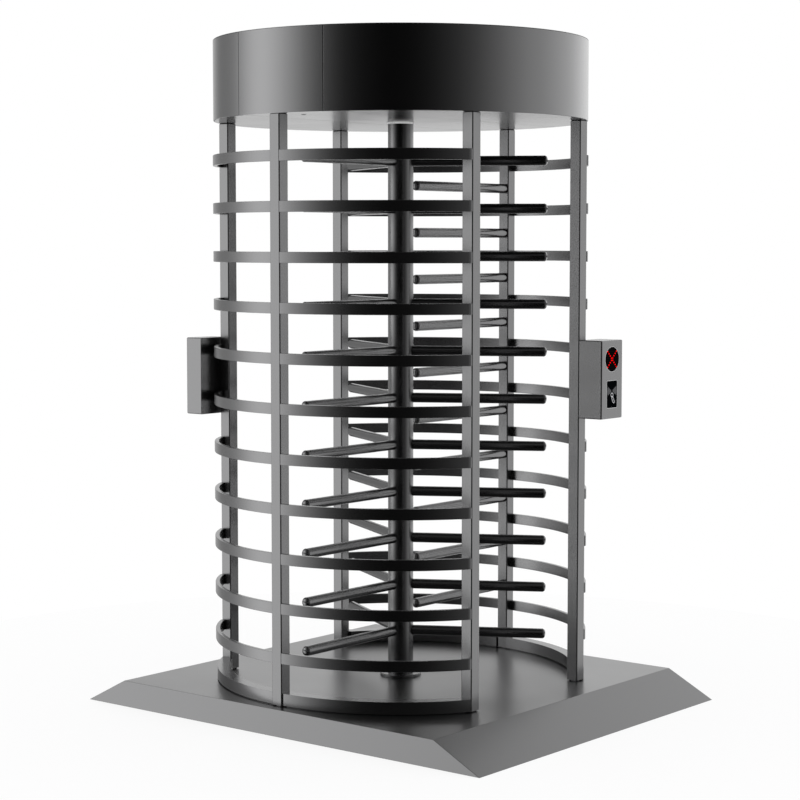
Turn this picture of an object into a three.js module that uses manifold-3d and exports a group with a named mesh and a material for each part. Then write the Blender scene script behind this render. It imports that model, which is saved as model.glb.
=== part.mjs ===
// Full height turnstile: a ramped platform, six square posts, two curved walls of flat bars,
// a three-wing rotor, a comb of fixed bars, a round canopy with its index and lock gear,
// and two reader boxes.
// Millimetres, +Z up. Origin: on the rotor axis, at the underside of the platform.
// +X is the way out past the front reader, +Y points to the post that carries the comb.
import * as THREE from "three";
import { mergeVertices } from "three/addons/utils/BufferGeometryUtils.js";
import Module from "manifold-3d";

const wasm = await Module();
wasm.setup();

// Driving dimensions

const fit = { seat: 0.3, cutOverrun: 2, weldOverlap: 1, running: 0.7 };

const platform = { endMargin: 34, sideMargin: 40, height: 95, rampRun: 187, sheet: 6, rib: 6 };
const ribCounts = { along: 6, across: 2 };

const clearHeight = 2028;

const post = { size: 45, wall: 3, cornerRadius: 3, cornerInset: 3.9, cornerAngle: 30.34 };
const postFoot = { rebateHeight: 4, rebateDepth: 3, plate: 8 };

const hoop = { outerRadius: 680, thickness: 16, height: 38, topLevel: 1886, bottomLevel: 168 };
const hoopSlotPlay = 1.5;
const levelCount = 11;

const curb = { height: 46, rebateHeight: 4, rebateDepth: 3 };

const column = { diameter: 93, wall: 4, headRise: 10 };
const arm = { diameter: 33.7, wallGap: 129, dome: 9 };
const wingAngles = [-90, 30, 150];

const comb = { diameter: 33.7, tipRadius: 80, dome: 9 };

const baseBearing = { radius: 75.5, height: 10, chamfer: 2, floor: 3 };

const canopy = { inset: 3, height: 286, sheet: 3, lid: 2, flange: 24, flangeSheet: 3, flangeSetBack: 4 };
const headPlate = { thickness: 5, edgeGap: 1.4, columnGap: 3 };
const hatch = { halfAngle: 16.45, seam: 2.5, flangeRise: 4, flange: 15, sheet: 3 };
const hatchHinge = { inset: 5, behind: 5, pinRadius: 2.5, pinPlay: 0.4, knuckleRadius: 4.6, relief: 8 };
const hingeTab = { reach: 40, width: 18, thickness: 3 };
const hatchCatch = { left: 20, right: 8, tabInner: 79, tab: 3, rise: 19, drop: 12 };

const camLock = { side: 14, inset: 131, radius: 9, proud: 1.5, height: 22, collarRadius: 12, collar: 2 };
const camHook = { rise: 10, thickness: 5, arm: 102, armWidth: 10, armSide: 10, head: 8, headReach: 20 };

const beam = { endMargin: 147, height: 80, width: 40, sheet: 5, spacing: 220 };
const gearPlate = { length: 500, width: 450, thickness: 8, boreRadius: 30 };
const shaft = { radius: 20, flangeRadius: 44, flange: 8, top: 157, collarRadius: 26, collar: 6 };
const topBearing = { radius: 55, neckRadius: 36, flange: 10, height: 26 };

const indexDisc = { radius: 120, thickness: 10, rise: 34, notchWidth: 26, notchDepth: 16 };
const indexCam = { meanRadius: 82, lobe: 8, thickness: 14, hubRadius: 32, hubRise: 12 };
const stopsPerWing = 2;

const stud = { radius: 8, height: 58, hubRadius: 14 };
const rollerArm = { length: 150, width: 24, thickness: 10, standOff: 1 };
const camRoller = { radius: 18, thickness: 12, pinRadius: 5, headRadius: 8, head: 2 };
const pawl = { pivotX: 140, pivotY: 112, width: 18, thickness: 9, standOff: 2 };
const tooth = { width: 20, reach: 12, lead: 3.5, slope: 8 };
const solenoid = { length: 62, width: 42, gap: 30, cover: 16, rodRadius: 6, rodLength: 50, wellSpare: 16 };

const controlBox = { length: 260, width: 150, height: 72, inset: 277, corner: 10 };
const boxLid = { step: 2, height: 14 };

const reader = { width: 136, height: 282, sheet: 2, corner: 3, middle: 1102 };
const readerDepths = { front: 97, rear: 74 };
const rearBracket = { depth: 11, height: 200 };
const display = { radius: 43, thickness: 5, rise: 73 };
const cardWindow = { width: 66.5, height: 97.5, corner: 5, thickness: 5, drop: 53 };

// Worked out from the driving dimensions

const floorZ = platform.height;
const ceilingZ = floorZ + clearHeight;
const plateTopZ = ceilingZ + headPlate.thickness;
const lidTopZ = ceilingZ + canopy.height;
const fasciaTopZ = lidTopZ - canopy.lid - fit.seat;
const postHalf = post.size / 2;
const middlePostY = hoop.outerRadius - postHalf;
const hoopInnerRadius = hoop.outerRadius - hoop.thickness;
const armReach = hoopInnerRadius - arm.wallGap;
const canopyRadius = hoop.outerRadius - canopy.inset;
const camLockOffset = canopyRadius - camLock.inset;
const levelPitch = (hoop.topLevel - hoop.bottomLevel) / (levelCount - 1);
const gearPlateZ = plateTopZ + fit.seat + beam.height;
const gearTopZ = gearPlateZ + gearPlate.thickness;
const columnTopZ = plateTopZ + column.headRise;
const discZ = gearTopZ + indexDisc.rise;
const camZ = discZ + indexDisc.thickness;
const readerZ = floorZ + reader.middle;

const arcStep = 6;
const camStep = 3;
const roundSides = { large: 48, column: 32, arm: 10, small: 16 };
const quarterTurn = 90;
const halfTurn = 180;
const fullTurn = 360;

// Colours

function paint(color, roughness, metalness) {
  return new THREE.MeshStandardMaterial({ color, roughness, metalness });
}

const finishes = {
  frame: paint(0x55565a, 0.3, 0.85),
  floor: paint(0x77787b, 0.35, 0.8),
  rotor: paint(0x45464a, 0.28, 0.85),
  canopy: paint(0x3c3d40, 0.22, 0.85),
  soffit: paint(0xb9babd, 0.3, 0.5),
  steel: paint(0x9a9ca0, 0.3, 0.9),
  brass: paint(0xb08d45, 0.35, 0.9),
  black: paint(0x111113, 0.4, 0.1),
  rubber: paint(0x202022, 0.8, 0),
  lens: paint(0x08080a, 0.08, 0),
};

// Geometry helpers

const radians = THREE.MathUtils.degToRad;
const degrees = THREE.MathUtils.radToDeg;

function polar(radius, angle) {
  return new THREE.Vector2(radius * Math.cos(radians(angle)), radius * Math.sin(radians(angle)));
}

// The corner posts stand in the wall's circle, with their outer corners just inside it
const cornerFace = polar(hoop.outerRadius - post.cornerInset, post.cornerAngle);
const cornerPost = { x: cornerFace.x - postHalf, y: cornerFace.y - postHalf };

function arcPoints(radius, from, to) {
  const count = Math.max(1, Math.round(Math.abs(to - from) / arcStep));
  return Array.from({ length: count + 1 }, (_, i) => polar(radius, from + ((to - from) * i) / count));
}

function slab(points, bottom, top) {
  const geometry = new THREE.ExtrudeGeometry(new THREE.Shape(points), {
    depth: top - bottom,
    bevelEnabled: false,
  });
  return geometry.translate(0, 0, bottom);
}

function box(low, high) {
  const size = high.map((value, i) => value - low[i]);
  const middle = high.map((value, i) => (value + low[i]) / 2);
  return new THREE.BoxGeometry(...size).translate(...middle);
}

function turned(profile, sides) {
  const points = profile.map(([radius, height]) => new THREE.Vector2(radius, height));
  return new THREE.LatheGeometry(points, sides).rotateX(radians(quarterTurn));
}

function rod(radius, bottom, top, sides) {
  return turned([[0, bottom], [radius, bottom], [radius, top], [0, top]], sides);
}

function tubeRing(inner, outer, bottom, top, sides) {
  return turned([[inner, bottom], [outer, bottom], [outer, top], [inner, top], [inner, bottom]], sides);
}

function sector(inner, outer, from, to, bottom, top) {
  return slab([...arcPoints(outer, from, to), ...arcPoints(inner, to, from)], bottom, top);
}

function roundedRectangle(width, height, radius) {
  const shape = new THREE.Shape();
  const x = width / 2;
  const y = height / 2;
  shape.moveTo(radius - x, -y);
  shape.lineTo(x - radius, -y);
  shape.absarc(x - radius, radius - y, radius, -Math.PI / 2, 0, false);
  shape.lineTo(x, y - radius);
  shape.absarc(x - radius, y - radius, radius, 0, Math.PI / 2, false);
  shape.lineTo(radius - x, y);
  shape.absarc(radius - x, y - radius, radius, Math.PI / 2, Math.PI, false);
  shape.lineTo(-x, radius - y);
  shape.absarc(radius - x, radius - y, radius, Math.PI, Math.PI * 1.5, false);
  return shape;
}

function roundedBar(width, height, radius, bottom, top, segments = 2) {
  const geometry = new THREE.ExtrudeGeometry(roundedRectangle(width, height, radius), {
    depth: top - bottom,
    bevelEnabled: false,
    curveSegments: segments,
  });
  return geometry.translate(0, 0, bottom);
}

function solid(geometry) {
  const bare = geometry.index ? geometry.toNonIndexed() : geometry.clone();
  bare.deleteAttribute("normal");
  bare.deleteAttribute("uv");
  const merged = mergeVertices(bare);
  return new wasm.Manifold(
    new wasm.Mesh({
      numProp: 3,
      vertProperties: new Float32Array(merged.attributes.position.array),
      triVerts: new Uint32Array(merged.index.array),
    }),
  );
}

function geometryOf(manifold) {
  const mesh = manifold.getMesh();
  const geometry = new THREE.BufferGeometry();
  geometry.setAttribute("position", new THREE.BufferAttribute(mesh.vertProperties, mesh.numProp));
  geometry.setIndex(new THREE.BufferAttribute(mesh.triVerts, 1));
  return geometry;
}

function joined(geometries) {
  return geometries.map(solid).reduce((sum, piece) => sum.add(piece));
}

function cut(whole, tools) {
  return tools.map(solid).reduce((rest, tool) => rest.subtract(tool), whole);
}

// The object

const turnstile = new THREE.Group();

function place(name, geometry, material) {
  const mesh = new THREE.Mesh(geometry, material);
  mesh.name = name;
  turnstile.add(mesh);
  return mesh;
}

function levelZ(index) {
  return floorZ + hoop.topLevel - index * levelPitch;
}

// Platform: a folded plate with a ramp at each end and ribs underneath, open below

function rampedBlock(halfTop, halfBottom, halfWidth, top, bottom) {
  const outline = [
    new THREE.Vector2(-halfBottom, bottom),
    new THREE.Vector2(halfBottom, bottom),
    new THREE.Vector2(halfTop, top),
    new THREE.Vector2(-halfTop, top),
  ];
  return slab(outline, -halfWidth, halfWidth).rotateX(radians(quarterTurn));
}

function addPlatform() {
  const halfTop = hoop.outerRadius + platform.endMargin;
  const halfBottom = halfTop + platform.rampRun;
  const halfWidth = hoop.outerRadius + platform.sideMargin;
  const slope = platform.rampRun / platform.height;
  const inset = platform.sheet * Math.hypot(1, slope);
  const roomTop = platform.height - platform.sheet;
  const roomHalfTop = halfTop + slope * platform.sheet - inset;
  const roomHalfBottom = halfBottom - inset + slope * fit.cutOverrun;
  const sideRoom = halfWidth - platform.sheet;
  const outer = rampedBlock(halfTop, halfBottom, halfWidth, platform.height, 0);
  const room = solid(rampedBlock(roomHalfTop, roomHalfBottom, sideRoom, roomTop, -fit.cutOverrun));
  const ribs = [];
  for (let i = 0; i < ribCounts.along; i += 1) {
    const y = halfWidth * ((2 * (i + 1)) / (ribCounts.along + 1) - 1);
    const half = platform.rib / 2;
    ribs.push(box([-halfBottom, y - half, -fit.cutOverrun * 2], [halfBottom, y + half, platform.height]));
  }
  for (let i = 0; i <= ribCounts.across; i += 1) {
    const x = halfTop * ((2 * i) / ribCounts.across - 1);
    const half = platform.rib / 2;
    ribs.push(box([x - half, -halfWidth, -fit.cutOverrun * 2], [x + half, halfWidth, platform.height]));
  }
  const pockets = cut(room, ribs);
  place("base_platform", geometryOf(solid(outer).subtract(pockets)), finishes.floor);
}

// Posts: square tubes with a closed foot, set back at the floor so that a dark line shows

function postTube() {
  const foot = floorZ + fit.seat;
  const bottom = floorZ + postFoot.rebateHeight;
  const top = ceilingZ - fit.seat;
  const footSize = post.size - postFoot.rebateDepth * 2;
  const boreSize = post.size - post.wall * 2;
  const tube = roundedBar(post.size, post.size, post.cornerRadius, bottom, top);
  const tenon = roundedBar(footSize, footSize, post.cornerRadius, foot, bottom + fit.weldOverlap);
  const boreHalf = boreSize / 2;
  const boreLow = [-boreHalf, -boreHalf, bottom + postFoot.plate];
  const bore = box(boreLow, [boreHalf, boreHalf, top + fit.cutOverrun]);
  return cut(joined([tube, tenon]), [bore]);
}

// The bars of a curved wall pass through slots in its middle post, behind the post's outer skin
function slottedPost() {
  const slotLow = hoopInnerRadius - hoopSlotPlay - middlePostY;
  const slotHigh = postHalf - post.wall;
  const slotHalf = hoop.height / 2 + fit.seat;
  const through = postHalf + fit.cutOverrun;
  const slots = [];
  for (let i = 0; i < levelCount; i += 1) {
    const z = levelZ(i);
    slots.push(box([-through, slotLow, z - slotHalf], [through, slotHigh, z + slotHalf]));
  }
  return cut(postTube(), slots);
}

// The fixed bars of the comb, welded to the inner face of the post that carries them
function combBars(reachFromPost) {
  const radius = comb.diameter / 2;
  const profile = barProfile(radius, reachFromPost, comb.dome);
  const bars = [];
  for (let i = 0; i < levelCount - 1; i += 1) {
    const bar = turned(profile, roundSides.arm).rotateX(radians(quarterTurn));
    bars.push(bar.translate(0, post.wall / 2 - postHalf, (levelZ(i) + levelZ(i + 1)) / 2));
  }
  return bars;
}

// A round bar from zero to its end, with a domed tip whose shoulder is given as shares of radius and height
function barProfile(radius, end, dome) {
  const shoulderShare = 0.72;
  const crownShare = 0.3;
  const shoulder = [radius * shoulderShare, end - dome * crownShare];
  return [[0, 0], [radius, 0], [radius, end - dome], shoulder, [0, end]];
}

function addPosts() {
  const corners = { front_left: [1, -1], rear_left: [-1, -1], front_right: [1, 1], rear_right: [-1, 1] };
  for (const [name, [alongX, alongY]] of Object.entries(corners)) {
    const mesh = place("post_" + name, geometryOf(postTube()), finishes.frame);
    mesh.position.set(alongX * cornerPost.x, alongY * cornerPost.y, 0);
  }
  const plain = place("post_middle_left", geometryOf(slottedPost()), finishes.frame);
  plain.rotation.z = Math.PI;
  plain.position.y = -middlePostY;
  const reach = middlePostY - postHalf + post.wall / 2 - comb.tipRadius;
  const combed = combBars(reach).map(solid).reduce((sum, bar) => sum.add(bar), slottedPost());
  place("post_middle_right", geometryOf(combed), finishes.frame).position.y = middlePostY;
}

// Curved walls: the outline of a bar that follows the wall's circle from one corner post to the other

function angleAtX(radius, x) {
  return degrees(Math.acos(x / radius));
}

function angleAtY(radius, y) {
  return degrees(Math.asin(y / radius));
}

function cornerEnd(inner, outer) {
  const cutY = cornerFace.y + fit.seat;
  const outerAngle = Math.max(angleAtX(outer, cornerFace.x), angleAtY(outer, cutY));
  const outerX = Math.min(cornerFace.x, polar(outer, outerAngle).x);
  return { cutY, outerAngle, outerX, innerAngle: angleAtY(inner, cutY) };
}

function hoopOutline() {
  const end = cornerEnd(hoopInnerRadius, hoop.outerRadius);
  const sideX = postHalf + fit.seat;
  const sideAngle = angleAtX(hoop.outerRadius, sideX);
  const notchY = hoop.outerRadius - post.wall - fit.seat;
  return [
    new THREE.Vector2(end.outerX, end.cutY),
    ...arcPoints(hoop.outerRadius, end.outerAngle, sideAngle),
    new THREE.Vector2(sideX, notchY),
    new THREE.Vector2(-sideX, notchY),
    ...arcPoints(hoop.outerRadius, halfTurn - sideAngle, halfTurn - end.outerAngle),
    new THREE.Vector2(-end.outerX, end.cutY),
    ...arcPoints(hoopInnerRadius, halfTurn - end.innerAngle, end.innerAngle),
  ];
}

function addHoops() {
  const outline = hoopOutline();
  const walls = { left: Math.PI, right: 0 };
  for (const [side, turn] of Object.entries(walls)) {
    for (let i = 0; i < levelCount; i += 1) {
      const bar = slab(outline, -hoop.height / 2, hoop.height / 2);
      const name = "hoop_" + side + "_" + String(i + 1).padStart(2, "0");
      const mesh = place(name, bar, finishes.frame);
      mesh.rotation.z = turn;
      mesh.position.z = levelZ(i);
    }
  }
}

// Curbs: box sections on the floor between the posts, set back at the floor like the posts

function curbOutline(setBack) {
  const outer = hoop.outerRadius - setBack;
  const inner = hoop.outerRadius - post.size + setBack;
  const end = cornerEnd(inner, outer);
  const sideX = postHalf + fit.seat;
  return [
    new THREE.Vector2(end.outerX, end.cutY),
    ...arcPoints(outer, end.outerAngle, angleAtX(outer, sideX)),
    ...arcPoints(inner, angleAtX(inner, sideX), end.innerAngle),
  ];
}

function addCurbs() {
  const foot = floorZ + fit.seat;
  const bottom = floorZ + curb.rebateHeight;
  const top = floorZ + curb.height;
  const quarters = { front_right: [1, 1], rear_right: [-1, 1], front_left: [1, -1], rear_left: [-1, -1] };
  for (const [name, [alongX, alongY]] of Object.entries(quarters)) {
    const body = slab(curbOutline(0), bottom, top);
    const rebate = slab(curbOutline(curb.rebateDepth), foot, bottom + fit.weldOverlap);
    const whole = joined([body, rebate]).scale([alongX, alongY, 1]);
    place("curb_" + name, geometryOf(whole), finishes.frame);
  }
}

// Rotor: a tube with three wings of arms, welded into one piece, and the shaft on its head

function addRotor() {
  const radius = column.diameter / 2;
  const bottom = floorZ + fit.seat + baseBearing.floor + fit.seat;
  const innerRadius = radius - column.wall;
  const tube = rod(radius, bottom, columnTopZ, roundSides.column);
  const bore = rod(innerRadius, bottom + column.wall * 2, columnTopZ + fit.cutOverrun, roundSides.column);
  const armRadius = arm.diameter / 2;
  const root = radius - column.wall / 2;
  const length = armReach - root;
  const profile = barProfile(armRadius, length, arm.dome);
  const pieces = [tube];
  for (const angle of wingAngles) {
    for (let i = 0; i < levelCount; i += 1) {
      const bar = turned(profile, roundSides.arm).rotateY(radians(quarterTurn));
      pieces.push(bar.translate(root, 0, levelZ(i)).rotateZ(radians(angle)));
    }
  }
  place("rotor", geometryOf(cut(joined(pieces), [bore])), finishes.rotor);

  const flangeZ = columnTopZ + fit.seat;
  const shaftTop = plateTopZ + shaft.top;
  const collarZ = gearTopZ - shaft.collar * 2;
  const shaftProfile = [
    [0, flangeZ],
    [shaft.flangeRadius, flangeZ],
    [shaft.flangeRadius, flangeZ + shaft.flange],
    [shaft.radius, flangeZ + shaft.flange],
    [shaft.radius, collarZ - shaft.collar],
    [shaft.collarRadius, collarZ - shaft.collar],
    [shaft.collarRadius, collarZ],
    [shaft.radius, collarZ],
    [shaft.radius, shaftTop],
    [0, shaftTop],
  ];
  place("rotor_shaft", turned(shaftProfile, roundSides.column), finishes.steel);
}

function addBaseBearing() {
  const bottom = floorZ + fit.seat;
  const top = bottom + baseBearing.height;
  const floor = bottom + baseBearing.floor;
  const boreRadius = column.diameter / 2 + fit.running;
  const profile = [
    [0, bottom],
    [baseBearing.radius, bottom],
    [baseBearing.radius, top - baseBearing.chamfer],
    [baseBearing.radius - baseBearing.chamfer, top],
    [boreRadius, top],
    [boreRadius, floor],
    [0, floor],
  ];
  place("base_bearing", turned(profile, roundSides.large), finishes.rotor);
}

// Canopy: head plate, outer skin, hatch with its pin and lock, and lid

const hatchMiddle = -quarterTurn;

function addHeadPlate() {
  const holeRadius = column.diameter / 2 + headPlate.columnGap;
  const plateRadius = canopyRadius - canopy.sheet - headPlate.edgeGap;
  const disc = solid(tubeRing(holeRadius, plateRadius, ceilingZ, plateTopZ, fullTurn / arcStep));
  const low = ceilingZ - fit.cutOverrun;
  const high = plateTopZ + fit.cutOverrun;
  const lockHole = rod(camLock.radius + fit.seat * 2, low, high, roundSides.small);
  const relief = rod(hatchHinge.relief, low, high, roundSides.small);
  const pivot = hatchPivot();
  const holes = [
    lockHole.translate(camLock.side, -camLockOffset, 0),
    relief.translate(pivot.x, pivot.y, 0),
  ];
  place("head_plate", geometryOf(cut(disc, holes)), finishes.soffit);
}

function addCanopySkin() {
  const seamAngle = degrees(hatch.seam / canopyRadius);
  const from = hatchMiddle + hatch.halfAngle + seamAngle / 2;
  const to = hatchMiddle - hatch.halfAngle - seamAngle / 2 + fullTurn;
  const inner = canopyRadius - canopy.sheet;
  const flangeInner = canopyRadius - canopy.flange;
  const flangeZ = plateTopZ + fit.seat;
  const skin = sector(inner, canopyRadius, from, to, ceilingZ, fasciaTopZ);
  const weld = inner + fit.weldOverlap;
  const setBack = degrees(canopy.flangeSetBack / canopyRadius);
  const ends = [from + setBack, to - setBack];
  const foot = sector(flangeInner, weld, ...ends, flangeZ, flangeZ + canopy.flangeSheet);
  const rim = sector(flangeInner, weld, ...ends, fasciaTopZ - canopy.flangeSheet, fasciaTopZ);
  place("canopy_fascia", geometryOf(joined([skin, foot, rim])), finishes.canopy);

  const lidBottom = fasciaTopZ + fit.seat;
  const lid = rod(canopyRadius, lidBottom, lidTopZ, fullTurn / arcStep);
  place("canopy_lid", lid, finishes.canopy);
}

// The pin stands just inside the left end of the hatch, so that little of the hatch swings inward
function hatchPivotAngle() {
  const offset = hatch.seam / 2 + hatchHinge.inset;
  return hatchMiddle - hatch.halfAngle + degrees(offset / canopyRadius);
}

function hatchPivot() {
  return polar(canopyRadius - hatchHinge.behind, hatchPivotAngle());
}

function hingeTabAt(bottom) {
  const angle = hatchPivotAngle();
  const end = angle + degrees(hingeTab.width / canopyRadius);
  const inner = canopyRadius - hatchHinge.behind - hingeTab.reach;
  return sector(inner, canopyRadius - hatchHinge.behind, angle, end, bottom, bottom + hingeTab.thickness);
}

function addHatch() {
  const seamAngle = degrees(hatch.seam / canopyRadius);
  const from = hatchMiddle - hatch.halfAngle + seamAngle / 2;
  const to = hatchMiddle + hatch.halfAngle - seamAngle / 2;
  const inner = canopyRadius - canopy.sheet;
  const weld = inner + fit.weldOverlap;
  const flangeInner = canopyRadius - hatch.flange - canopy.sheet;
  const footZ = plateTopZ + fit.seat + hatch.flangeRise;
  const headZ = fasciaTopZ - canopy.flangeSheet - hatch.flangeRise - hatch.sheet;
  const pivot = hatchPivot();
  const skin = sector(inner, canopyRadius, from, to, ceilingZ, fasciaTopZ);
  const foot = sector(flangeInner, weld, from, to, footZ, footZ + hatch.sheet);
  const head = sector(flangeInner, weld, from, to, headZ, headZ + hatch.sheet);
  const knuckle = rod(hatchHinge.knuckleRadius, footZ, headZ + hatch.sheet, roundSides.small);
  const catchZ = plateTopZ + hatchCatch.rise;
  const tabY = -camLockOffset - hatchCatch.tabInner - hatchCatch.tab;
  const left = camLock.side - hatchCatch.left;
  const right = camLock.side + hatchCatch.right;
  const tabEnd = tabY + hatchCatch.tab;
  const shelf = box([left, fit.weldOverlap - weld, catchZ], [right, tabEnd, catchZ + hatch.sheet]);
  const tab = box([left, tabY, catchZ - hatchCatch.drop], [right, tabEnd, catchZ + fit.weldOverlap]);
  const whole = joined([skin, foot, head, knuckle.translate(pivot.x, pivot.y, 0), shelf, tab]);
  const boreRadius = hatchHinge.pinRadius + hatchHinge.pinPlay;
  const bore = rod(boreRadius, ceilingZ - fit.cutOverrun, lidTopZ, roundSides.small);
  const hung = cut(whole, [bore.translate(pivot.x, pivot.y, 0)]);
  place("access_hatch", geometryOf(hung), finishes.canopy);

  const pinBottom = plateTopZ + fit.seat;
  const pin = rod(hatchHinge.pinRadius, pinBottom, fasciaTopZ, roundSides.small);
  const tabs = [hingeTabAt(pinBottom), hingeTabAt(fasciaTopZ - hingeTab.thickness)];
  const held = joined([pin.translate(pivot.x, pivot.y, 0), ...tabs]);
  place("hatch_pin", geometryOf(held), finishes.steel);
}

function addCamLock() {
  const bottom = ceilingZ - camLock.proud;
  const top = plateTopZ + camLock.height;
  const hookZ = plateTopZ + camHook.rise;
  const barrel = rod(camLock.radius, bottom, top, roundSides.small);
  const collarZ = plateTopZ + fit.seat;
  const collar = rod(camLock.collarRadius, collarZ, collarZ + camLock.collar, roundSides.small);
  const hookTop = hookZ + camHook.thickness;
  const armEdge = camHook.armSide + camHook.armWidth;
  const shank = box([0, -camHook.armWidth / 2, hookZ], [camHook.armSide * 2, armEdge, hookTop]);
  const bar = box([camHook.armSide, camHook.armSide, hookZ], [camHook.arm, armEdge, hookTop]);
  const headLow = [camHook.arm - camHook.head, camHook.armSide - camHook.headReach, hookZ];
  const head = box(headLow, [camHook.arm, armEdge, hookTop]);
  const lock = geometryOf(joined([barrel, collar, shank, bar, head]));
  place("cam_lock", lock, finishes.steel).position.set(camLock.side, -camLockOffset, 0);
}

// Head frame: two channels across the head plate, the gear plate on them and the studs it carries

// The two locks mirror one another, a notch apart, so that each one stops the rotor one way round
const locks = {
  entry: { turn: 0, side: 1 },
  exit: { turn: fullTurn / wingAngles.length, side: -1 },
};

function pawlPivot({ turn, side }) {
  const unturned = new THREE.Vector2(pawl.pivotX, -side * pawl.pivotY);
  return unturned.rotateAround(new THREE.Vector2(), radians(turn));
}

function rollerPivot() {
  const rollerX = -(indexCam.meanRadius + indexCam.lobe + camRoller.radius + rollerArm.standOff);
  return new THREE.Vector2(rollerX, -rollerArm.length);
}

function channelBeam(middleY, openSide) {
  const bottom = plateTopZ + fit.seat;
  const halfLength = canopyRadius - beam.endMargin;
  const halfWidth = beam.width / 2;
  const low = [-halfLength, middleY - halfWidth, bottom];
  const whole = solid(box(low, [halfLength, middleY + halfWidth, bottom + beam.height]));
  const overrun = halfLength + fit.cutOverrun;
  const inner = openSide * (beam.sheet - halfWidth);
  const outer = openSide * (halfWidth + fit.cutOverrun);
  const grooveTop = bottom + beam.height - beam.sheet;
  const grooveLow = [-overrun, middleY + Math.min(inner, outer), bottom + beam.sheet];
  const groove = box(grooveLow, [overrun, middleY + Math.max(inner, outer), grooveTop]);
  return whole.subtract(solid(groove));
}

function addHeadFrame() {
  const halfX = gearPlate.length / 2;
  const halfY = gearPlate.width / 2;
  const plate = box([-halfX, -halfY, gearPlateZ - fit.weldOverlap], [halfX, halfY, gearTopZ]);
  const beams = [channelBeam(-beam.spacing / 2, -1), channelBeam(beam.spacing / 2, 1)];
  let frame = beams.reduce((sum, piece) => sum.add(piece), solid(plate));
  for (const pivot of [rollerPivot(), ...Object.values(locks).map(pawlPivot)]) {
    const pin = rod(stud.radius, gearTopZ - fit.weldOverlap, gearTopZ + stud.height, roundSides.small);
    frame = frame.add(solid(pin.translate(pivot.x, pivot.y, 0)));
  }
  const boreEnds = [gearPlateZ - fit.cutOverrun, gearTopZ + fit.cutOverrun];
  const bore = rod(gearPlate.boreRadius, ...boreEnds, roundSides.column);
  place("head_frame", geometryOf(cut(frame, [bore])), finishes.steel);
}

function addTopBearing() {
  const bottom = gearTopZ + fit.seat;
  const inner = shaft.radius + fit.running;
  const profile = [
    [inner, bottom],
    [topBearing.radius, bottom],
    [topBearing.radius, bottom + topBearing.flange],
    [topBearing.neckRadius, bottom + topBearing.flange],
    [topBearing.neckRadius, bottom + topBearing.height],
    [inner, bottom + topBearing.height],
    [inner, bottom],
  ];
  place("top_bearing", turned(profile, roundSides.column), finishes.rotor);
}

// Index disc: a lobed cam that centres the rotor, over a disc with lock notches. Both have a
// hollow or notch for every wing's home place, and one halfway between two of them.

function addIndexDisc() {
  const stops = wingAngles.length * stopsPerWing;
  const steps = fullTurn / camStep;
  const camOutline = Array.from({ length: steps }, (_, i) => {
    const angle = (fullTurn * i) / steps;
    return polar(indexCam.meanRadius - indexCam.lobe * Math.cos(radians(angle) * stops), angle);
  });
  const camTop = camZ + indexCam.thickness;
  const disc = rod(indexDisc.radius, discZ, camZ, roundSides.large);
  const cam = slab(camOutline, camZ - fit.weldOverlap, camTop);
  const hubTop = camTop + indexCam.hubRise;
  const hub = rod(indexCam.hubRadius, discZ, hubTop, roundSides.column);
  const boreEnds = [discZ - fit.cutOverrun, hubTop + fit.cutOverrun];
  const bore = rod(shaft.radius + fit.seat, ...boreEnds, roundSides.column);
  const tools = [bore];
  for (let i = 0; i < stops; i += 1) {
    const half = indexDisc.notchWidth / 2;
    const low = [indexDisc.radius - indexDisc.notchDepth, -half, discZ - fit.cutOverrun];
    const notch = box(low, [indexDisc.radius + indexDisc.notchDepth, half, camZ + fit.cutOverrun]);
    tools.push(notch.rotateZ(radians((fullTurn * i) / stops)));
  }
  place("index_disc", geometryOf(cut(joined([disc, cam, hub]), tools)), finishes.steel);
}

// A lever that hangs on a stud: a hub the height of the stud and a bar at the level it works on
function leverHub(bottom, top) {
  return rod(stud.hubRadius, bottom, top, roundSides.small);
}

function hubBore() {
  return rod(stud.radius + fit.seat, gearPlateZ, lidTopZ, roundSides.small);
}

function addRollerArm() {
  const pivot = rollerPivot();
  const headBottom = camZ + fit.running;
  const rollerBottom = headBottom + camRoller.head + fit.seat;
  const rollerTop = rollerBottom + camRoller.thickness;
  const armBottom = rollerTop + fit.seat;
  const armTop = armBottom + rollerArm.thickness;
  const barLength = rollerArm.length + rollerArm.width;
  const bar = roundedBar(rollerArm.width, barLength, rollerArm.width / 2, armBottom, armTop, 4);
  const pin = rod(camRoller.pinRadius, headBottom, armBottom + fit.weldOverlap, roundSides.small);
  const pinHead = rod(camRoller.headRadius, headBottom, headBottom + camRoller.head, roundSides.small);
  const lever = joined([
    leverHub(gearTopZ + fit.seat, armTop),
    bar.translate(0, rollerArm.length / 2, 0),
    pin.translate(0, rollerArm.length, 0),
    pinHead.translate(0, rollerArm.length, 0),
  ]);
  const mesh = place("roller_arm", geometryOf(cut(lever, [hubBore()])), finishes.steel);
  mesh.position.set(pivot.x, pivot.y, 0);

  const rollerBore = camRoller.pinRadius + fit.seat;
  const roller = tubeRing(rollerBore, camRoller.radius, rollerBottom, rollerTop, roundSides.column);
  place("cam_roller", roller, finishes.black).position.set(pivot.x, 0, 0);
}

// A pawl's outline: a bar along its disc with a tooth that is straight on one side and sloped on the other
function pawlOutline(side) {
  const toothX = indexDisc.radius + pawl.standOff;
  const barX = toothX + tooth.reach;
  const backX = barX + pawl.width;
  const low = tooth.lead - tooth.width / 2;
  const high = tooth.lead + tooth.width / 2;
  const corners = [
    [barX, -pawl.pivotY],
    [backX, -pawl.pivotY],
    [backX, high],
    [barX, high],
    [toothX, high - tooth.slope],
    [toothX, low],
    [barX, low],
  ];
  return corners.map(([x, y]) => new THREE.Vector2(x, side * y));
}

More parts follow.
